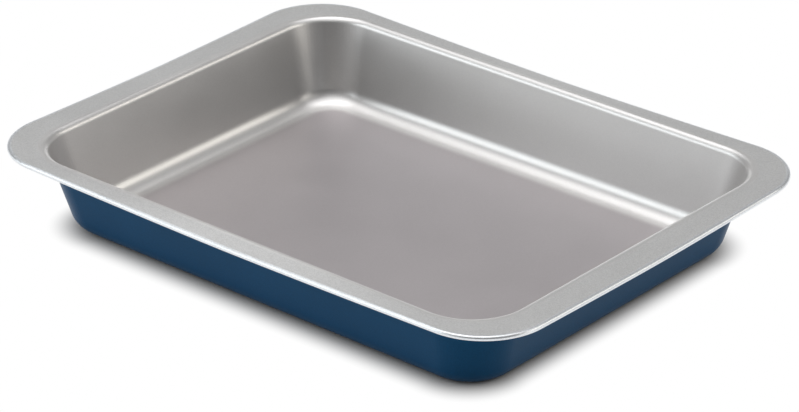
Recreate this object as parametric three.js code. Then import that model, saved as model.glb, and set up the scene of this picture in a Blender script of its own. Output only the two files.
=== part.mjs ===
// Rectangular cake pan: one sheet of steel, drawn into a bowl with a flat flange and a rolled hem,
// with a light release coat on its upper face and a blue coat on its lower face.
// Millimetres, +Z up. The origin is the centre of the underside, and +X runs along the long side.
import * as THREE from "three";

// Driving dimensions of the bowl
const openingLength = 336.8; // along X, where the planes of the end walls meet the flange
const openingWidth = 258.5; // along Y, where the planes of the side walls meet the flange
const openingCornerRadius = 33; // seen from above, at the level of the flange
const panHeight = 50; // from the underside to the top of the flange
const wallDraftDegrees = 14.8; // lean of the walls from upright
const floorFilletRadius = 11.5; // inside, between the floor and the walls
const floorCornerRadius = 17.5; // seen from above, corners of the flat part of the floor

// Driving dimensions of the flange and its hem
const endFlangeWidth = 21.6; // at the two short ends, where hands hold the pan
const sideFlangeWidth = 15.5; // along the two long sides
const rimCornerRadius = 41; // seen from above, at the outermost edge
const flangeBendRadius = 3.4; // on the underside, where the wall turns out into the flange
const hemGap = 1.2; // clear height inside the rolled edge
const hemReturn = 5; // how far the rolled edge runs back under the flange

// Driving thicknesses
const releaseCoatThickness = 0.05;
const steelThickness = 0.7;
const colourCoatThickness = 0.05;

// Facets of each round stretch
const cornerSteps = 9;
const filletSteps = 6;
const bendSteps = 3;
const hemSteps = 4;

// Worked out from the driving dimensions
const sheetThickness = releaseCoatThickness + steelThickness + colourCoatThickness;
const wallDraft = THREE.MathUtils.degToRad(wallDraftDegrees);
const turn = Math.PI / 2 - wallDraft; // from floor to wall, and from wall to flange
const floorTop = sheetThickness;
const filletSetback = floorFilletRadius * Math.tan(turn / 2);
const bendTopRadius = flangeBendRadius + sheetThickness;
const bendSetback = bendTopRadius * Math.tan(turn / 2);
const hemRadius = hemGap / 2 + sheetThickness;
const rimHalfLength = openingLength / 2 + endFlangeWidth;
const rimHalfWidth = openingWidth / 2 + sideFlangeWidth;
const wallFootCornerRadius = floorCornerRadius + filletSetback;

// The wall's plane at a height: how far out it stands from the opening, and the radius of its corners.
function wallReach(height) {
  return (height - panHeight) * Math.tan(wallDraft);
}

function wallCornerRadius(height) {
  const climbed = (height - floorTop) / (panHeight - floorTop);
  return THREE.MathUtils.lerp(wallFootCornerRadius, openingCornerRadius, climbed);
}

// Points along a section of the sheet's upper face. x is the reach outwards, y is the height.
// The metal lies to the right of the direction of travel, and into is the unit step towards it.
function stations(stretches) {
  const list = [];
  for (const { curve, steps } of stretches) {
    for (let step = list.length ? 1 : 0; step <= steps; step++) {
      const at = curve.getPoint(step / steps);
      const along = curve.getTangent(step / steps);
      const into = new THREE.Vector2(along.y, -along.x);
      list.push({ reach: at.x, height: at.y, into });
    }
  }
  return list;
}

// Section of the bowl, with its reach measured from the opening: floor fillet, wall, bend to the flange.
function bowlSection() {
  const fillet = new THREE.EllipseCurve(
    wallReach(floorTop) - filletSetback,
    floorTop + floorFilletRadius,
    floorFilletRadius,
    floorFilletRadius,
    -Math.PI / 2,
    -wallDraft,
    false,
  );
  const bend = new THREE.EllipseCurve(
    bendSetback,
    panHeight - bendTopRadius,
    bendTopRadius,
    bendTopRadius,
    Math.PI - wallDraft,
    Math.PI / 2,
    true,
  );
  const wall = new THREE.LineCurve(fillet.getPoint(1), bend.getPoint(0));
  return stations([
    { curve: fillet, steps: filletSteps },
    { curve: wall, steps: 1 },
    { curve: bend, steps: bendSteps },
  ]);
}

// Section of the hem, with its reach measured from the rim: a half turn, then the stretch back under the flange.
function hemSection() {
  const roll = new THREE.EllipseCurve(
    -hemRadius,
    panHeight - hemRadius,
    hemRadius,
    hemRadius,
    Math.PI / 2,
    -Math.PI / 2,
    true,
  );
  const under = roll.getPoint(1);
  const back = new THREE.LineCurve(under, new THREE.Vector2(under.x - hemReturn, under.y));
  return stations([
    { curve: roll, steps: hemSteps },
    { curve: back, steps: 1 },
  ]);
}

// A level rounded rectangle, anticlockwise seen from above.
function ring(halfLength, halfWidth, radius, height) {
  const corners = [
    [1, 1],
    [-1, 1],
    [-1, -1],
    [1, -1],
  ];
  const points = [];
  corners.forEach(([sideX, sideY], quarter) => {
    for (let step = 0; step <= cornerSteps; step++) {
      const angle = (quarter + step / cornerSteps) * (Math.PI / 2);
      const x = sideX * (halfLength - radius) + radius * Math.cos(angle);
      const y = sideY * (halfWidth - radius) + radius * Math.sin(angle);
      points.push(new THREE.Vector3(x, y, height));
    }
  });
  return points;
}

// The face that lies at one depth below the sheet's upper face, as rings from the floor out to the folded edge.
// The flat flange is the stretch between the last ring of the bowl and the first ring of the hem.
function sheetRings(depth) {
  const bowl = bowlSection().map(({ reach, height, into }) => {
    const spread = reach + depth * into.x;
    const radius = wallCornerRadius(height) - wallReach(height) + spread;
    const level = height + depth * into.y;
    return ring(openingLength / 2 + spread, openingWidth / 2 + spread, radius, level);
  });
  const hem = hemSection().map(({ reach, height, into }) => {
    const spread = reach + depth * into.x;
    const level = height + depth * into.y;
    return ring(rimHalfLength + spread, rimHalfWidth + spread, rimCornerRadius + spread, level);
  });
  return [...bowl, ...hem];
}

// Triangles of one face: the flat floor, then a band between each two neighbouring rings. Their front is up.
function faceTriangles(rings, first) {
  const count = rings[0].length;
  const floor = THREE.ShapeUtils.triangulateShape(
    rings[0].map(({ x, y }) => new THREE.Vector2(x, y)),
    [],
  );
  const triangles = floor.map((corners) => corners.map((corner) => first + corner));
  for (let band = 0; band + 1 < rings.length; band++) {
    for (let point = 0; point < count; point++) {
      const next = (point + 1) % count;
      const inner = first + band * count;
      const outer = inner + count;
      triangles.push([inner + point, outer + point, outer + next]);
      triangles.push([inner + point, outer + next, inner + next]);
    }
  }
  return triangles;
}

// A layer of the sheet between two depths: an upper face, a lower face and the cut edge that joins them.
function layerGeometry(upperDepth, lowerDepth) {
  const upper = sheetRings(upperDepth);
  const lower = sheetRings(lowerDepth);
  const count = upper[0].length;
  const faceSize = upper.length * count;
  const triangles = faceTriangles(upper, 0);
  for (const [a, b, c] of faceTriangles(lower, faceSize)) {
    triangles.push([a, c, b]);
  }
  const upperEdge = faceSize - count;
  const lowerEdge = upperEdge + faceSize;
  for (let point = 0; point < count; point++) {
    const next = (point + 1) % count;
    triangles.push([upperEdge + next, upperEdge + point, lowerEdge + point]);
    triangles.push([upperEdge + next, lowerEdge + point, lowerEdge + next]);
  }
  const geometry = new THREE.BufferGeometry();
  geometry.setFromPoints([...upper, ...lower].flat());
  geometry.setIndex(triangles.flat());
  geometry.computeVertexNormals();
  return geometry;
}

const finishes = {
  releaseCoat: new THREE.MeshStandardMaterial({ color: 0xb3afab, roughness: 0.38, metalness: 0.75 }),
  steel: new THREE.MeshStandardMaterial({ color: 0x8d9093, roughness: 0.45, metalness: 1 }),
  colourCoat: new THREE.MeshStandardMaterial({ color: 0x1f4263, roughness: 0.32, metalness: 0.2 }),
};

// The layers from the top of the sheet to its underside, each lying on the next.
const layers = [
  { name: "inner_release_coat", thickness: releaseCoatThickness, finish: finishes.releaseCoat },
  { name: "drawn_steel_body", thickness: steelThickness, finish: finishes.steel },
  { name: "outer_colour_coat", thickness: colourCoatThickness, finish: finishes.colourCoat },
];

const pan = new THREE.Group();
pan.name = "rectangular_cake_pan";
let depth = 0;
for (const { name, thickness, finish } of layers) {
  const layer = new THREE.Mesh(layerGeometry(depth, depth + thickness), finish);
  layer.name = name;
  pan.add(layer);
  depth += thickness;
}

export default pan;
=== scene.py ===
# %% [markdown]
# # A rectangular cake pan
# The pan is one sheet of steel, drawn into a bowl with leaning walls and a flat flange, and hemmed at
# its edge. A light grey release coat lies on its upper face and a blue coat on its lower face. It
# fixes the size, and the visual pieces are made around it.

import math

import bpy
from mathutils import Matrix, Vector


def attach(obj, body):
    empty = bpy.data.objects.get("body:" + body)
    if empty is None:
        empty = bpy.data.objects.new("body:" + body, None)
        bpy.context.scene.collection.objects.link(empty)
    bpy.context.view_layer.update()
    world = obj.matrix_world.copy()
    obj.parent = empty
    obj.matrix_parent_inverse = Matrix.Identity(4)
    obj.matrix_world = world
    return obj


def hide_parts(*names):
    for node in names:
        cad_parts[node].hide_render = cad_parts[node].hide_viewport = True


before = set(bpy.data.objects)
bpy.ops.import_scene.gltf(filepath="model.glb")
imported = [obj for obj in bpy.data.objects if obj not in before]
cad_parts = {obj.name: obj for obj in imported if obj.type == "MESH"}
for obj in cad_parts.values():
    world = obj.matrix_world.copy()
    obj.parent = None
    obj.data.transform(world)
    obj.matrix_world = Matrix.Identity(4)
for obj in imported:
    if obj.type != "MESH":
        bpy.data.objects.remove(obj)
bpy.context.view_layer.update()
MM = 0.001
print("CAD nodes:", sorted(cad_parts))

# %% [markdown]
# ## The camera
# The picture is a long-lens view of one corner of the pan, from a little above the table. A long lens
# far away keeps the sides nearly parallel, which is why the camera stands over two metres back.

# %% Camera
AZIMUTH = math.radians(40.59)
ELEVATION = math.radians(26.41)
CAMERA_DISTANCE = 2.28306
CAMERA_TARGET = Vector((-0.0227, 0.02959, 0.0))
LENS_MM = 177.35
SENSOR_MM = 36
towards_camera = Vector((
    math.sin(AZIMUTH) * math.cos(ELEVATION),
    -math.cos(AZIMUTH) * math.cos(ELEVATION),
    math.sin(ELEVATION),
))
camera_data = bpy.data.cameras.new("camera")
camera_data.lens = LENS_MM
camera_data.sensor_width = SENSOR_MM
camera = bpy.data.objects.new("camera", camera_data)
camera.location = CAMERA_TARGET + CAMERA_DISTANCE * towards_camera
camera.rotation_euler = (-towards_camera).to_track_quat("-Z", "Y").to_euler()
bpy.context.scene.collection.objects.link(camera)
bpy.context.scene.camera = camera
print("Camera at", [round(c, 3) for c in camera.location])

# %% [markdown]
# ## The section of the sheet
# Cut the pan across its middle and the sheet shows as one line: flat floor, floor fillet, leaning wall,
# bend, flat flange, half-round hem, and the strip folded back under the flange. The corners are tighter
# at the floor than at the mouth, as in any deep-drawn pan, so each point of the section also carries
# the half length, half width and corner radius of the level ring that runs through it. A drawn section
# could be swept along a curve, but a sweep keeps one corner radius. Numbers per point don't.

# %% Sizes of the sheet, as in the CAD source
OPENING_LENGTH = 336.8 * MM
OPENING_WIDTH = 258.5 * MM
OPENING_CORNER = 33 * MM
PAN_HEIGHT = 50 * MM
DRAFT = math.radians(14.8)
FILLET_RADIUS = 11.5 * MM
FLOOR_CORNER = 17.5 * MM
END_FLANGE = 21.6 * MM
SIDE_FLANGE = 15.5 * MM
RIM_CORNER = 41 * MM
BEND_RADIUS = 3.4 * MM
HEM_GAP = 1.2 * MM
HEM_RETURN = 5 * MM
RELEASE_COAT = 0.05 * MM
STEEL = 0.7 * MM
COLOUR_COAT = 0.05 * MM
SHEET = RELEASE_COAT + STEEL + COLOUR_COAT
TURN = math.pi / 2 - DRAFT
FILLET_SETBACK = FILLET_RADIUS * math.tan(TURN / 2)
BEND_TOP_RADIUS = BEND_RADIUS + SHEET
BEND_SETBACK = BEND_TOP_RADIUS * math.tan(TURN / 2)
HEM_RADIUS = HEM_GAP / 2 + SHEET


def wall_reach(height):
    """How far out the wall's plane stands from the opening at a height."""
    return (height - PAN_HEIGHT) * math.tan(DRAFT)


def wall_corner(height):
    """Corner radius of the wall at a height: tight at its foot, wide at the mouth."""
    climbed = (height - SHEET) / (PAN_HEIGHT - SHEET)
    foot = FLOOR_CORNER + FILLET_SETBACK
    return foot + (OPENING_CORNER - foot) * climbed


# %% Stations along the section
FLOOR_STEPS = 8
FILLET_STEPS = 16
WALL_STEPS = 14
BEND_STEPS = 10
FLANGE_STEPS = 6
ROLL_STEPS = 16
TUCK_STEPS = 3


def arc(centre_out, centre_up, radius, start, stop, steps):
    """Points of an arc with the direction of travel at each: out, up, travel out, travel up."""
    way = 1 if stop > start else -1
    points = []
    for step in range(steps + 1):
        angle = start + (stop - start) * step / steps
        cosine, sine = math.cos(angle), math.sin(angle)
        points.append((centre_out + radius * cosine, centre_up + radius * sine, -way * sine, way * cosine))
    return points


def line(start, stop, steps):
    """Points inside a straight stretch, without its two ends."""
    out, up = stop[0] - start[0], stop[1] - start[1]
    length = math.hypot(out, up)
    inner = [step / steps for step in range(1, steps)]
    return [(start[0] + out * t, start[1] + up * t, out / length, up / length) for t in inner]


def bowl_station(point):
    """Sizes of the ring through a point of the bowl, then its step into the metal and its height."""
    out, up, travel_out, travel_up = point
    radius = wall_corner(up) - wall_reach(up) + out
    sizes = (OPENING_LENGTH / 2 + out, OPENING_WIDTH / 2 + out, radius)
    return sizes, (travel_up, -travel_out, up)


def hem_station(point):
    """The same for a point of the hem, measured from the rim."""
    out, up, travel_out, travel_up = point
    half_length = OPENING_LENGTH / 2 + END_FLANGE + out
    half_width = OPENING_WIDTH / 2 + SIDE_FLANGE + out
    sizes = (half_length, half_width, RIM_CORNER + out)
    return sizes, (travel_up, -travel_out, up)


def between(first, last, steps):
    """Stations that fill a flat stretch between two rings."""
    stations = []
    for step in range(1, steps):
        share = step / steps
        sizes = tuple(a + (b - a) * share for a, b in zip(first[0], last[0]))
        stations.append((sizes, first[1]))
    return stations


fillet = arc(
    wall_reach(SHEET) - FILLET_SETBACK, SHEET + FILLET_RADIUS, FILLET_RADIUS,
    -math.pi / 2, -DRAFT, FILLET_STEPS,
)
bend = arc(
    BEND_SETBACK, PAN_HEIGHT - BEND_TOP_RADIUS, BEND_TOP_RADIUS,
    math.pi - DRAFT, math.pi / 2, BEND_STEPS,
)
wall = line(fillet[-1], bend[0], WALL_STEPS)
roll = arc(
    -HEM_RADIUS, PAN_HEIGHT - HEM_RADIUS, HEM_RADIUS,
    math.pi / 2, -math.pi / 2, ROLL_STEPS,
)
tuck_end = (roll[-1][0] - HEM_RETURN, roll[-1][1], -1.0, 0.0)
tuck = line(roll[-1], tuck_end, TUCK_STEPS) + [tuck_end]

bowl = [bowl_station(point) for point in fillet + wall + bend]
hem = [hem_station(point) for point in roll + tuck]
floor_edge = bowl[0]
spine_half = floor_edge[0][0] - floor_edge[0][1]
floor_spine = ((spine_half, 0.0, 0.0), floor_edge[1])
stations = (
    [floor_spine]
    + between(floor_spine, floor_edge, FLOOR_STEPS)
    + bowl
    + between(bowl[-1], hem[0], FLANGE_STEPS)
    + hem
)
flange_share = [0.0] * (len(stations) - len(hem) - FLANGE_STEPS + 1)
flange_share += [step / FLANGE_STEPS for step in range(1, FLANGE_STEPS)]
flange_share += [1.0] * len(hem)
print("Stations along the section:", len(stations))

# %% [markdown]
# ## Sweeping the section round the pan
# Every level ring is a rounded rectangle: a small circle carried round a rectangle. Geometry Nodes lay
# that rule over a grid. Rows follow the section out over the upper face of a layer and back under its
# lower face, and columns go round the pan. One tree then makes all three layers, from two depths. A
# pressed flange is never quite flat. Between its corners it droops by a millimetre or two, and the
# corners stand a little proud. The tree lowers each point by a bow along its side, in step with how far
# out on the flange it lies.

# %% A helper for arithmetic in node trees
def join(tree, socket, value):
    """Links a socket to another, or sets its number."""
    if isinstance(value, bpy.types.NodeSocket):
        tree.links.new(value, socket)
    else:
        socket.default_value = value


def calc(tree, operation, *values):
    """One Math node."""
    node = tree.nodes.new("ShaderNodeMath")
    node.operation = operation
    for socket, value in zip(node.inputs, values):
        join(tree, socket, value)
    return node.outputs[0]


# %% The tree
BOW_POWER = 1.5
SHARP_FROM = math.radians(40)
SAME_POINT = 0.001 * MM


def layer_tree():
    """A tree that turns the section into one closed layer of the sheet."""
    tree = bpy.data.node_groups.new("sheet_layer", "GeometryNodeTree")
    face = tree.interface
    face.new_socket("Section", in_out="INPUT", socket_type="NodeSocketGeometry")
    face.new_socket("Upper depth", in_out="INPUT", socket_type="NodeSocketFloat")
    face.new_socket("Lower depth", in_out="INPUT", socket_type="NodeSocketFloat")
    face.new_socket("Corner steps", in_out="INPUT", socket_type="NodeSocketInt")
    face.new_socket("Side steps", in_out="INPUT", socket_type="NodeSocketInt")
    face.new_socket("Long side droop", in_out="INPUT", socket_type="NodeSocketFloat")
    face.new_socket("End droop", in_out="INPUT", socket_type="NodeSocketFloat")
    face.new_socket("Corner lift", in_out="INPUT", socket_type="NodeSocketFloat")
    face.new_socket("Finish", in_out="INPUT", socket_type="NodeSocketMaterial")
    face.new_socket("Layer", in_out="OUTPUT", socket_type="NodeSocketGeometry")

    def node(kind, **settings):
        made = tree.nodes.new(kind)
        for name, value in settings.items():
            setattr(made, name, value)
        return made

    def m(operation, *values):
        return calc(tree, operation, *values)

    given = node("NodeGroupInput").outputs
    size = node("GeometryNodeAttributeDomainSize")
    tree.links.new(given["Section"], size.inputs["Geometry"])
    count = size.outputs["Point Count"]
    rows = m("MULTIPLY", count, 2)
    quarter = m("ADD", given["Corner steps"], given["Side steps"])
    columns = m("MULTIPLY_ADD", quarter, 4, 1)
    grid = node("GeometryNodeMeshGrid")
    tree.links.new(rows, grid.inputs["Vertices X"])
    tree.links.new(columns, grid.inputs["Vertices Y"])

    index = node("GeometryNodeInputIndex").outputs[0]
    row = m("FLOOR", m("DIVIDE", index, columns))
    column = m("MODULO", index, columns)
    last_row = m("SUBTRACT", rows, 1)
    station = m("MINIMUM", row, m("SUBTRACT", last_row, row))
    is_upper = m("LESS_THAN", row, m("SUBTRACT", count, 0.5))
    thickness = m("SUBTRACT", given["Lower depth"], given["Upper depth"])
    depth = m("SUBTRACT", given["Lower depth"], m("MULTIPLY", thickness, is_upper))

    turn = m("FLOOR", m("DIVIDE", column, quarter))
    place = m("MODULO", column, quarter)
    round_share = m("MINIMUM", m("DIVIDE", place, given["Corner steps"]), 1)
    past_round = m("SUBTRACT", place, given["Corner steps"])
    side_share = m("MAXIMUM", m("DIVIDE", past_round, given["Side steps"]), 0)
    angle = m("MULTIPLY", m("ADD", turn, round_share), math.pi / 2)
    walk = m("ADD", turn, side_share)

    def side_sign(position):
        """From 1 to -1 over the first side, -1 over the second, back to 1 over the third."""
        swing = m("ABSOLUTE", m("SUBTRACT", position, 1.5))
        return m("MAXIMUM", m("MINIMUM", m("MULTIPLY_ADD", swing, 2, -2), 1), -1)

    sign_x = side_sign(walk)
    sign_y = side_sign(m("MODULO", m("ADD", walk, 3), 4))

    def station_vector(name):
        carried = node("GeometryNodeInputNamedAttribute", data_type="FLOAT_VECTOR")
        carried.inputs["Name"].default_value = name
        sample = node("GeometryNodeSampleIndex", data_type="FLOAT_VECTOR", domain="POINT")
        tree.links.new(given["Section"], sample.inputs["Geometry"])
        tree.links.new(carried.outputs["Attribute"], sample.inputs["Value"])
        tree.links.new(station, sample.inputs["Index"])
        split = node("ShaderNodeSeparateXYZ")
        tree.links.new(sample.outputs["Value"], split.inputs[0])
        return split.outputs

    def station_number(name):
        carried = node("GeometryNodeInputNamedAttribute", data_type="FLOAT")
        carried.inputs["Name"].default_value = name
        sample = node("GeometryNodeSampleIndex", data_type="FLOAT", domain="POINT")
        tree.links.new(given["Section"], sample.inputs["Geometry"])
        tree.links.new(carried.outputs["Attribute"], sample.inputs["Value"])
        tree.links.new(station, sample.inputs["Index"])
        return sample.outputs["Value"]

    half_length, half_width, radius = station_vector("sizes")
    lean_out, lean_up, height = station_vector("lean")
    spread = m("MULTIPLY", depth, lean_out)
    reach = m("ADD", radius, spread)
    core_length = m("SUBTRACT", half_length, radius)
    core_width = m("SUBTRACT", half_width, radius)
    x = m("MULTIPLY_ADD", sign_x, core_length, m("MULTIPLY", reach, m("COSINE", angle)))
    y = m("MULTIPLY_ADD", sign_y, core_width, m("MULTIPLY", reach, m("SINE", angle)))
    level = m("MULTIPLY_ADD", depth, lean_up, height)
    from_middle = m("ABSOLUTE", m("MULTIPLY_ADD", side_share, 2, -1))
    bow = m("POWER", from_middle, BOW_POWER)
    is_end = m("MODULO", turn, 2)
    longer = m("SUBTRACT", given["End droop"], given["Long side droop"])
    most = m("MULTIPLY_ADD", is_end, longer, given["Long side droop"])
    sag = m("SUBTRACT", m("MULTIPLY", most, m("SUBTRACT", 1, bow)), given["Corner lift"])
    out_on_flange = station_number("flange_share")
    z = m("SUBTRACT", level, m("MULTIPLY", sag, out_on_flange))
    position = node("ShaderNodeCombineXYZ")
    for socket, value in zip(position.inputs, (x, y, z)):
        tree.links.new(value, socket)

    marked = node("GeometryNodeStoreNamedAttribute", data_type="FLOAT", domain="POINT")
    marked.inputs["Name"].default_value = "flange_share"
    tree.links.new(grid.outputs["Mesh"], marked.inputs["Geometry"])
    tree.links.new(out_on_flange, marked.inputs["Value"])
    placed = node("GeometryNodeSetPosition")
    tree.links.new(marked.outputs[0], placed.inputs["Geometry"])
    tree.links.new(position.outputs[0], placed.inputs["Position"])
    closed = node("GeometryNodeMergeByDistance")
    closed.inputs["Distance"].default_value = SAME_POINT
    tree.links.new(placed.outputs[0], closed.inputs["Geometry"])
    crease = node("GeometryNodeInputMeshEdgeAngle")
    is_sharp = node("FunctionNodeCompare", data_type="FLOAT", operation="GREATER_THAN")
    is_sharp.inputs["B"].default_value = SHARP_FROM
    tree.links.new(crease.outputs["Unsigned Angle"], is_sharp.inputs["A"])
    sharp = node("GeometryNodeStoreNamedAttribute", data_type="BOOLEAN", domain="EDGE")
    sharp.inputs["Name"].default_value = "sharp_edge"
    tree.links.new(closed.outputs[0], sharp.inputs["Geometry"])
    tree.links.new(is_sharp.outputs[0], sharp.inputs["Value"])
    realized = node("GeometryNodeRealizeInstances")
    tree.links.new(sharp.outputs[0], realized.inputs[0])
    finished = node("GeometryNodeSetMaterial")
    tree.links.new(realized.outputs[0], finished.inputs["Geometry"])
    tree.links.new(given["Finish"], finished.inputs["Material"])
    result = node("NodeGroupOutput")
    tree.links.new(finished.outputs[0], result.inputs["Layer"])
    return tree


sheet_layer = layer_tree()
print("Nodes in the layer tree:", len(sheet_layer.nodes))

# %% [markdown]
# ## Finishes
# Each finish is worked out from the object's own coordinates in metres, so it needs no picture and no
# unwrapping. A noise scale of 900 then means about 900 grains per metre, a little over a millimetre
# each. The layers also carry the number `flange_share`, which is 0 in the bowl, grows across the flange
# and is 1 on the hem. With it a finish can differ between the bowl, the flange and the rolled edge,
# where the release coat gets a painted highlight.

# %% Helpers for finishes
def principled(name):
    """A new material with its tree and the inputs of its shader."""
    material = bpy.data.materials.new(name)
    material.use_nodes = True
    return material, material.node_tree, material.node_tree.nodes["Principled BSDF"].inputs


def own_place(tree):
    """The object's own coordinates."""
    return tree.nodes.new("ShaderNodeTexCoord").outputs["Object"]


def noise(tree, scale, detail=2.0, place=None):
    """Soft noise around 0.5, with a scale in grains per metre."""
    texture = tree.nodes.new("ShaderNodeTexNoise")
    texture.inputs["Scale"].default_value = scale
    texture.inputs["Detail"].default_value = detail
    tree.links.new(place or own_place(tree), texture.inputs["Vector"])
    return texture.outputs["Fac"]


def flakes(tree, scale):
    """One random colour per small cell, as if each were a flake with its own tilt."""
    texture = tree.nodes.new("ShaderNodeTexVoronoi")
    texture.inputs["Scale"].default_value = scale
    tree.links.new(own_place(tree), texture.inputs["Vector"])
    return texture.outputs["Color"]


def channel(tree, colour, name):
    """One channel of a colour."""
    node = tree.nodes.new("ShaderNodeSeparateColor")
    tree.links.new(colour, node.inputs[0])
    return node.outputs[name]


def ease(tree, value, start, stop):
    """Rises smoothly from 0 to 1 while a value goes from start to stop."""
    node = tree.nodes.new("ShaderNodeMapRange")
    node.interpolation_type = "SMOOTHSTEP"
    tree.links.new(value, node.inputs["Value"])
    node.inputs["From Min"].default_value = start
    node.inputs["From Max"].default_value = stop
    return node.outputs[0]


def vary(tree, value, middle, amount):
    """Turns a value around 0.5 into one around a middle, reaching amount to each side."""
    off_middle = calc(tree, "SUBTRACT", value, 0.5)
    return calc(tree, "MULTIPLY_ADD", off_middle, calc(tree, "MULTIPLY", amount, 2), middle)


def blend(tree, share, first, second):
    """A colour between two colours, each a socket or a list of numbers."""
    node = tree.nodes.new("ShaderNodeMix")
    node.data_type = "RGBA"
    join(tree, node.inputs["Factor"], share)
    for socket, colour in ((node.inputs[6], first), (node.inputs[7], second)):
        join(tree, socket, colour)
    return node.outputs[2]


def brighten(tree, colour, factor):
    """A colour times a number."""
    node = tree.nodes.new("ShaderNodeVectorMath")
    node.operation = "SCALE"
    tree.links.new(colour, node.inputs[0])
    join(tree, node.inputs["Scale"], factor)
    return node.outputs[0]


def vector_step(tree, operation, first, second=None):
    """One Vector Math node."""
    node = tree.nodes.new("ShaderNodeVectorMath")
    node.operation = operation
    tree.links.new(first, node.inputs[0])
    if second is not None:
        join(tree, node.inputs[1], second)
    return node.outputs["Value" if operation in ("LENGTH", "DOT_PRODUCT") else "Vector"]


def outside_of(tree, half_length, half_width, corner):
    """How far a point lies outside a rounded rectangle seen from above, and the way there from its core."""
    core = (half_length - corner, half_width - corner, 0)
    level = vector_step(tree, "MULTIPLY", own_place(tree), (1, 1, 0))
    past_core = vector_step(tree, "SUBTRACT", vector_step(tree, "ABSOLUTE", level), core)
    way = vector_step(tree, "MAXIMUM", past_core, (0, 0, 0))
    return calc(tree, "SUBTRACT", vector_step(tree, "LENGTH", way), corner), way


def tilt(tree, colour, amount):
    """The surface's normal, leaned by a random colour."""
    normal = tree.nodes.new("ShaderNodeNewGeometry").outputs["Normal"]
    centred = vector_step(tree, "SUBTRACT", colour, (0.5, 0.5, 0.5))
    leaned = vector_step(tree, "ADD", normal, brighten(tree, centred, amount))
    return vector_step(tree, "NORMALIZE", leaned)


def bump(tree, height, strength, distance, normal=None):
    """The surface's normal, leaned by the slope of a height."""
    node = tree.nodes.new("ShaderNodeBump")
    node.inputs["Strength"].default_value = strength
    node.inputs["Distance"].default_value = distance
    tree.links.new(height, node.inputs["Height"])
    if normal:
        tree.links.new(normal, node.inputs["Normal"])
    return node.outputs[0]


def stored(tree, name):
    """A number that the layer's points carry."""
    node = tree.nodes.new("ShaderNodeAttribute")
    node.attribute_name = name
    return node.outputs["Fac"]


def own_height(tree):
    """The height above the underside."""
    node = tree.nodes.new("ShaderNodeSeparateXYZ")
    tree.links.new(own_place(tree), node.inputs[0])
    return node.outputs["Z"]


# %% [markdown]
# ### Release coat
# A baked silicone coat with metal flake: satin, warm grey, and smoother where the sheet was stretched
# into the bowl. The flange wasn't stretched, so its flakes still stand at many angles and it looks
# grainy and more neutral. A noise picture in the base colour alone would look painted on. Here each
# flake leans the normal a little, so the grain answers to the light. On the rolled hem the coat is
# painted a cool, bright grey, a painted highlight along the edge, and it is made smoother there. The
# flat floor is given a darker, pinker grey and a higher roughness than the walls. Along the floor's
# edge, and more in its corners, the colour is painted a shade lighter as painted highlights. Distances
# from the floor's outline choose between these, as a painted mask would, but stay sharp at any size.

# %% Release coat
WALL_GREY = (0.665, 0.656, 0.65, 1)
FLOOR_GREY = (0.487, 0.457, 0.467, 1)
FLANGE_GREY = (0.575, 0.575, 0.573, 1)
# Painted highlight: the hem's cool bright grey stands in for the light its round edge mirrors.
HEM_HIGHLIGHT_GREY = (0.78, 0.805, 0.83, 1)
WALL_ROUGHNESS = 0.36
FLOOR_DULLER = 0.08
FLANGE_DULLER = 0.1
HEM_SMOOTHER = 0.16
CORNER_REACH = 45 * MM
# Painted highlights: the floor's edge, and more its corners, are painted lighter than the rest of the bowl.
FOOT_PAINTED_HIGHLIGHT = 0.1
CORNER_PAINTED_HIGHLIGHT = 0.25

release_finish, tree, shader = principled("satin_release_coat")
share = stored(tree, "flange_share")
on_flange = ease(tree, share, 0.0, 0.2)
on_hem = ease(tree, share, 0.9, 1.0)
past_floor = outside_of(tree, *floor_edge[0])[0]
on_floor = calc(tree, "SUBTRACT", 1, ease(tree, past_floor, -6.0 * MM, 0.5 * MM))
below_wall = calc(tree, "SUBTRACT", 1, ease(tree, own_height(tree), 1.0 * MM, 1.7 * MM))
at_foot = calc(tree, "MULTIPLY", ease(tree, past_floor, -4.0 * MM, 0.0), below_wall)
flake = flakes(tree, 2000)
grain = noise(tree, 900, 3)
clouds = noise(tree, 30)
bowl_colour = blend(tree, on_floor, WALL_GREY, FLOOR_GREY)
# The mask for the painted highlight low in the floor's corners.
spot = tree.nodes.new("ShaderNodeSeparateXYZ")
tree.links.new(vector_step(tree, "ABSOLUTE", own_place(tree)), spot.inputs[0])
near_corner = calc(tree, "SUBTRACT", 1, ease(tree, own_height(tree), 1.5 * MM, 5.0 * MM))
for along, half in ((spot.outputs["X"], floor_edge[0][0]), (spot.outputs["Y"], floor_edge[0][1])):
    near_corner = calc(tree, "MULTIPLY", near_corner, ease(tree, along, half - CORNER_REACH, half))
# Painted highlights: corners and the floor's edge get a lighter colour.
corner_highlight_gain = calc(tree, "MULTIPLY_ADD", near_corner, CORNER_PAINTED_HIGHLIGHT, 1)
painted_highlight_gain = calc(tree, "MULTIPLY_ADD", at_foot, FOOT_PAINTED_HIGHLIGHT, corner_highlight_gain)
bowl_colour_with_highlights = brighten(tree, bowl_colour, painted_highlight_gain)
coat_colour = blend(tree, on_flange, bowl_colour_with_highlights, FLANGE_GREY)
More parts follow.
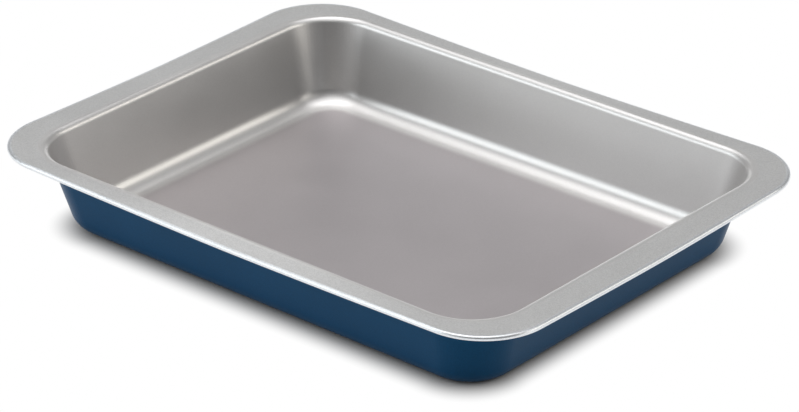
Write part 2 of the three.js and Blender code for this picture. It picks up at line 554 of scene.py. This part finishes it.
# The hem is painted a cool bright grey here: a painted highlight along the edge.
colour_with_hem_highlight = blend(tree, on_hem, coat_colour, HEM_HIGHLIGHT_GREY)
flake_strength = calc(tree, "MULTIPLY_ADD", on_flange, 0.07, 0.02)
flake_light = vary(tree, channel(tree, flake, "Red"), 1, flake_strength)
cloud_light = vary(tree, clouds, 1, 0.03)
tree.links.new(
    brighten(tree, colour_with_hem_highlight, calc(tree, "MULTIPLY", flake_light, cloud_light)),
    shader["Base Color"],
)
shader["Metallic"].default_value = 0.9
flange_satin = calc(tree, "MULTIPLY_ADD", on_flange, FLANGE_DULLER, WALL_ROUGHNESS)
satin = calc(tree, "MULTIPLY_ADD", on_floor, FLOOR_DULLER, flange_satin)
gloss = vary(tree, clouds, satin, 0.03)
fine_gloss = vary(tree, grain, gloss, 0.05)
tree.links.new(calc(tree, "MULTIPLY_ADD", on_hem, -HEM_SMOOTHER, fine_gloss), shader["Roughness"])
lean = tilt(tree, flake, calc(tree, "MULTIPLY_ADD", on_flange, 0.04, 0.01))
tree.links.new(bump(tree, grain, 0.06, 0.05 * MM, lean), shader["Normal"])
print("Release coat nodes:", len(tree.nodes))

# %% [markdown]
# ### Steel
# The sheet itself shows only at its cut edge, under the flange. Rolling leaves it with fine lines along
# its length, so its noise is stretched twenty times along X.

# %% Steel
STEEL_DARK = (0.47, 0.48, 0.49, 1)
STEEL_LIGHT = (0.63, 0.64, 0.65, 1)
ROLLING_STRETCH = 20

steel_finish, tree, shader = principled("cold_rolled_steel")
stretch = tree.nodes.new("ShaderNodeMapping")
stretch.inputs["Scale"].default_value = (1 / ROLLING_STRETCH, 1, 1)
tree.links.new(own_place(tree), stretch.inputs["Vector"])
lines = noise(tree, 2500, 3, stretch.outputs[0])
steel_colour = blend(tree, lines, STEEL_DARK, STEEL_LIGHT)
tree.links.new(steel_colour, shader["Base Color"])
shader["Metallic"].default_value = 1
tree.links.new(vary(tree, lines, 0.4, 0.12), shader["Roughness"])
tree.links.new(bump(tree, lines, 0.15, 0.02 * MM), shader["Normal"])
print("Steel nodes:", len(tree.nodes))

# %% [markdown]
# ### Blue coat
# A heat-proof enamel, deep blue with a low sheen. Sprayed coats dry with a faint orange peel of a few
# millimetres, which breaks up reflections more than it changes the colour, so it goes into the bump and
# not into the base colour. Where the base slides over oven shelves, its edge is scuffed a shade lighter
# and duller.

# %% Blue coat
ENAMEL_BLUE = (0.0088, 0.082, 0.196, 1)
SCUFFED_BLUE = (0.08, 0.14, 0.22, 1)
ENAMEL_ROUGHNESS = 0.33
ENAMEL_SHEEN = 0.05

blue_finish, tree, shader = principled("blue_coat")
flake = flakes(tree, 2600)
peel = noise(tree, 260, 1)
grain = noise(tree, 1500, 2)
clouds = noise(tree, 25)
near_base = calc(tree, "SUBTRACT", 1, ease(tree, own_height(tree), 0.2 * MM, 2.0 * MM))
scuff = calc(tree, "MULTIPLY", near_base, ease(tree, noise(tree, 420, 4), 0.5, 0.62))
enamel = blend(tree, calc(tree, "MULTIPLY", scuff, 0.5), ENAMEL_BLUE, SCUFFED_BLUE)
enamel_light = calc(
    tree, "MULTIPLY",
    vary(tree, channel(tree, flake, "Red"), 1, 0.08),
    vary(tree, clouds, 1, 0.1),
)
tree.links.new(brighten(tree, enamel, enamel_light), shader["Base Color"])
dull = vary(tree, grain, ENAMEL_ROUGHNESS, 0.05)
tree.links.new(calc(tree, "MULTIPLY_ADD", scuff, 0.2, dull), shader["Roughness"])
shader["Specular IOR Level"].default_value = ENAMEL_SHEEN
fine = bump(tree, grain, 0.05, 0.03 * MM)
tree.links.new(bump(tree, peel, 0.08, 0.15 * MM, fine), shader["Normal"])
print("Blue coat nodes:", len(tree.nodes))

# %% [markdown]
# ## The three layers
# The section becomes a line of points that carry their sizes as attributes, and the tree above reads
# them. A modifier would be worked out again each time the file opens. Its result is copied into a plain
# mesh instead, so the pieces need nothing else.

# %% Make the three layers
CORNER_STEPS = 24
SIDE_STEPS = 20
LONG_SIDE_DROOP = 1.9 * MM
END_DROOP = 1.4 * MM
CORNER_LIFT = 0.3 * MM


def input_name(tree, name):
    """The modifier's own name for one of the tree's inputs."""
    return next(item.identifier for item in tree.interface.items_tree if item.name == name)


def section_mesh():
    """The section as a line of points with its numbers on them."""
    mesh = bpy.data.meshes.new("section")
    mesh.from_pydata(
        [(sizes[0], 0.0, lean[2]) for sizes, lean in stations],
        [(n, n + 1) for n in range(len(stations) - 1)],
        [],
    )
    for name, part in (("sizes", 0), ("lean", 1)):
        carried = mesh.attributes.new(name, "FLOAT_VECTOR", "POINT")
        carried.data.foreach_set("vector", [number for entry in stations for number in entry[part]])
    carried = mesh.attributes.new("flange_share", "FLOAT", "POINT")
    carried.data.foreach_set("value", flange_share)
    return mesh


def make_layer(name, upper, lower, finish):
    """Sweeps one layer, turns it into a plain mesh and leaves no modifier on it."""
    maker = bpy.data.objects.new(name + "_section", section_mesh())
    bpy.context.scene.collection.objects.link(maker)
    sweep = maker.modifiers.new("sweep", "NODES")
    sweep.node_group = sheet_layer
    given = {
        "Upper depth": upper,
        "Lower depth": lower,
        "Corner steps": CORNER_STEPS,
        "Side steps": SIDE_STEPS,
        "Long side droop": LONG_SIDE_DROOP,
        "End droop": END_DROOP,
        "Corner lift": CORNER_LIFT,
        "Finish": finish,
    }
    for title, value in given.items():
        sweep[input_name(sheet_layer, title)] = value
    shaped = maker.evaluated_get(bpy.context.evaluated_depsgraph_get())
    mesh = bpy.data.meshes.new_from_object(shaped)
    mesh.name = name
    bpy.data.objects.remove(maker)
    layer = bpy.data.objects.new(name, mesh)
    bpy.context.scene.collection.objects.link(layer)
    print(name, "has", len(mesh.vertices), "points and", len(mesh.polygons), "faces")
    return layer


release_layer = make_layer("pan_release_coat", 0, RELEASE_COAT, release_finish)
steel_layer = make_layer("pan_steel_sheet", RELEASE_COAT, RELEASE_COAT + STEEL, steel_finish)
blue_layer = make_layer("pan_blue_coat", RELEASE_COAT + STEEL, SHEET, blue_finish)

# %% [markdown]
# ## Each layer stands for a CAD node
# The frame holds one CAD node for the steel and one for each coat. A visual layer takes the place of
# its node and rides with the root, as nothing on the pan moves.

# %% Tie the layers to the CAD nodes
for layer, cad_node, slot in (
    (release_layer, "inner_release_coat", "release_coat"),
    (steel_layer, "drawn_steel_body", "steel"),
    (blue_layer, "outer_colour_coat", "colour_coat"),
):
    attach(layer, "root")
    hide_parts(cad_node)
    print(layer.name, "stands for", cad_node, "with slot", slot)

# %% [markdown]
# ## The floor
# The pan stands on a pale floor that turns to plain white about 25 millimetres away from it. Lamps
# strong enough to burn the floor out to white would burn out the pan too. So the floor keeps its pale
# colour, which takes the pan's real soft shadow, and blends into a flat white of strength 1 with the
# distance from the pan. The pale band left around the base is a painted shadow on top of the real one:
# its width follows the base's outline, narrower past the ends and wider at the corners. Only rays from
# the camera and rays mirrored by the pan meet that white, so it is seen and mirrored but casts no light.

# %% Floor
FLOOR_HALF = 6
FLOOR_COLOUR = (0.6, 0.573, 0.548, 1)
WHITE_FROM = 2 * MM
WHITE_AT = 24 * MM
BASE_HALF_LENGTH = 149 * MM
BASE_HALF_WIDTH = 110 * MM
BASE_CORNER = 24 * MM
PAINTED_SHADOW_NARROWER_AT_ENDS = 0.1
PAINTED_SHADOW_WIDER_AT_CORNERS = 0.35

floor_mesh = bpy.data.meshes.new("studio_floor")
floor_corners = [(-1, -1), (1, -1), (1, 1), (-1, 1)]
floor_mesh.from_pydata([(x * FLOOR_HALF, y * FLOOR_HALF, 0) for x, y in floor_corners], [], [(0, 1, 2, 3)])
studio_floor = bpy.data.objects.new("studio_floor", floor_mesh)
bpy.context.scene.collection.objects.link(studio_floor)
floor_finish = bpy.data.materials.new("white_floor")
floor_finish.use_nodes = True
floor_finish.cycles.emission_sampling = "NONE"
floor_mesh.materials.append(floor_finish)
floor_tree = floor_finish.node_tree
floor_tree.nodes.clear()


def shown(tree):
    """Two numbers: 1 for rays from the camera, and 1 for rays from a mirroring or clear surface."""
    path = tree.nodes.new("ShaderNodeLightPath").outputs
    return path["Is Camera Ray"], calc(tree, "MAXIMUM", path["Is Glossy Ray"], path["Is Transmission Ray"])


seen, mirrored = shown(floor_tree)
# Painted shadow: a pale band around the pan's base stays short of white, narrower past the ends and wider
# at the corners.
from_base, outside = outside_of(floor_tree, BASE_HALF_LENGTH, BASE_HALF_WIDTH, BASE_CORNER)
outwards = floor_tree.nodes.new("ShaderNodeSeparateXYZ")
floor_tree.links.new(vector_step(floor_tree, "NORMALIZE", outside), outwards.inputs[0])
at_corners = calc(floor_tree, "MULTIPLY", outwards.outputs["X"], outwards.outputs["Y"])
at_ends = calc(floor_tree, "MULTIPLY_ADD", outwards.outputs["X"], PAINTED_SHADOW_NARROWER_AT_ENDS, 1)
pace = calc(floor_tree, "MULTIPLY_ADD", at_corners, -PAINTED_SHADOW_WIDER_AT_CORNERS, at_ends)
paced = calc(floor_tree, "MULTIPLY", from_base, pace)
# 0 near the base, where the pale floor and its painted shadow show, rising to 1 where the floor is white.
white_past_painted_shadow = ease(floor_tree, paced, WHITE_FROM, WHITE_AT)
pale = floor_tree.nodes.new("ShaderNodeBsdfDiffuse")
pale.inputs["Color"].default_value = FLOOR_COLOUR
white = floor_tree.nodes.new("ShaderNodeEmission")
white.inputs["Color"].default_value = (1, 1, 1, 1)
white.inputs["Strength"].default_value = 1
ground = floor_tree.nodes.new("ShaderNodeMixShader")
whiteness = calc(floor_tree, "MULTIPLY", calc(floor_tree, "MAXIMUM", seen, mirrored), white_past_painted_shadow)
floor_tree.links.new(whiteness, ground.inputs[0])
floor_tree.links.new(pale.outputs[0], ground.inputs[1])
floor_tree.links.new(white.outputs[0], ground.inputs[2])
floor_out = floor_tree.nodes.new("ShaderNodeOutputMaterial")
floor_tree.links.new(ground.outputs[0], floor_out.inputs["Surface"])
print("Floor nodes:", len(floor_tree.nodes))

# %% [markdown]
# ## The room
# The camera sees a white backdrop. For light and reflections the room is a plain grey, brighter low
# down where the backdrop stands, and darker towards one side. Metal only looks like metal when part of
# what it mirrors is dark, and this side gives the inner corner and the blue corner their dark bands.

# %% World
DARK_SIDE = math.radians(-33)
DARK_EDGE = 0.45
DARK_CORE = 0.9
DARK_LEVEL = 0.14
ROOM_LEVEL = 0.34
BACKDROP_LEVEL = 0.75
BACKDROP_FULL = math.sin(math.radians(3))
BACKDROP_GONE = math.sin(math.radians(12))

world = bpy.data.worlds.new("studio")
bpy.context.scene.world = world
world.use_nodes = True
world_tree = world.node_tree
sky = world_tree.nodes["Background"].inputs
sky["Color"].default_value = (1, 1, 1, 1)
direction = world_tree.nodes.new("ShaderNodeTexCoord").outputs["Generated"]
dark_way = (math.cos(DARK_SIDE), math.sin(DARK_SIDE), 0)
facing_dark = vector_step(world_tree, "DOT_PRODUCT", direction, dark_way)
lit = calc(world_tree, "SUBTRACT", 1, ease(world_tree, facing_dark, DARK_EDGE, DARK_CORE))
split = world_tree.nodes.new("ShaderNodeSeparateXYZ")
world_tree.links.new(direction, split.inputs[0])
high = ease(world_tree, split.outputs["Z"], BACKDROP_FULL, BACKDROP_GONE)
backdrop = calc(world_tree, "MULTIPLY", lit, calc(world_tree, "SUBTRACT", 1, high))
seen, mirrored = shown(world_tree)
room = calc(world_tree, "MULTIPLY_ADD", lit, ROOM_LEVEL - DARK_LEVEL, DARK_LEVEL)
mirrored_backdrop = calc(world_tree, "MULTIPLY", mirrored, backdrop)
in_mirror = calc(world_tree, "MULTIPLY", mirrored_backdrop, BACKDROP_LEVEL)
level = calc(world_tree, "MAXIMUM", seen, calc(world_tree, "MAXIMUM", in_mirror, room))
world_tree.links.new(level, sky["Strength"])
print("World nodes:", len(world_tree.nodes))

# %% [markdown]
# ## Soft boxes
# Each box is placed by the direction it's seen in from the pan, because that is what a curved metal
# sheet mirrors. The high boxes light the floor and the flange, the front and right ones draw the bright
# lines along the fillets, and the low ones give the walls their soft gradient. Several large weak boxes
# glare less, from the other sides too, than one strong lamp would.

# %% Soft boxes
BOX_DISTANCE = 3.0
NEUTRAL = (1, 1, 1)
COOL = (0.93, 0.98, 1)
WARM = (1, 0.965, 0.89)


def soft_box(name, azimuth, elevation, half_wide, half_high, radiance, tint=NEUTRAL):
    """An area lamp seen from the pan in a direction, with its half sizes as angles in degrees."""
    around, above = math.radians(azimuth), math.radians(elevation)
    direction = Vector((
        math.cos(above) * math.cos(around),
        math.cos(above) * math.sin(around),
        math.sin(above),
    ))
    lamp = bpy.data.lights.new(name, "AREA")
    lamp.shape = "RECTANGLE"
    lamp.size = 2 * BOX_DISTANCE * math.tan(math.radians(half_wide))
    lamp.size_y = 2 * BOX_DISTANCE * math.tan(math.radians(half_high))
    lamp.energy = radiance * math.pi * lamp.size * lamp.size_y
    lamp.color = tint
    box = bpy.data.objects.new(name, lamp)
    box.location = direction * BOX_DISTANCE
    box.rotation_euler = (-direction).to_track_quat("-Z", "Y").to_euler()
    bpy.context.scene.collection.objects.link(box)


soft_box("overhead_box", 145, 58, 18, 15, 0.6)
soft_box("high_left_box", 168, 66, 25, 17, 1.15)
soft_box("top_box", 0, 89, 30, 20, 1.0)
soft_box("front_left_box", -131, 29, 20, 11, 2.1, COOL)
soft_box("right_box", 34, 32, 16, 11, 1.8, WARM)
soft_box("back_right_box", 58, 35, 9, 8, 1.0, WARM)
soft_box("backdrop_box", 130, 9, 25, 6, 0.9)
soft_box("low_right_box", 14, 8, 13, 6, 1.3, WARM)
soft_box("low_left_box", -137, 9, 28, 6, 0.9, COOL)
print("Soft boxes:", len(bpy.data.lights))

# %% [markdown]
# ## Colour view
# The Standard view shows colours as they were worked out, with no film curve on top.

# %% Colour view
bpy.context.scene.view_settings.view_transform = "Standard"
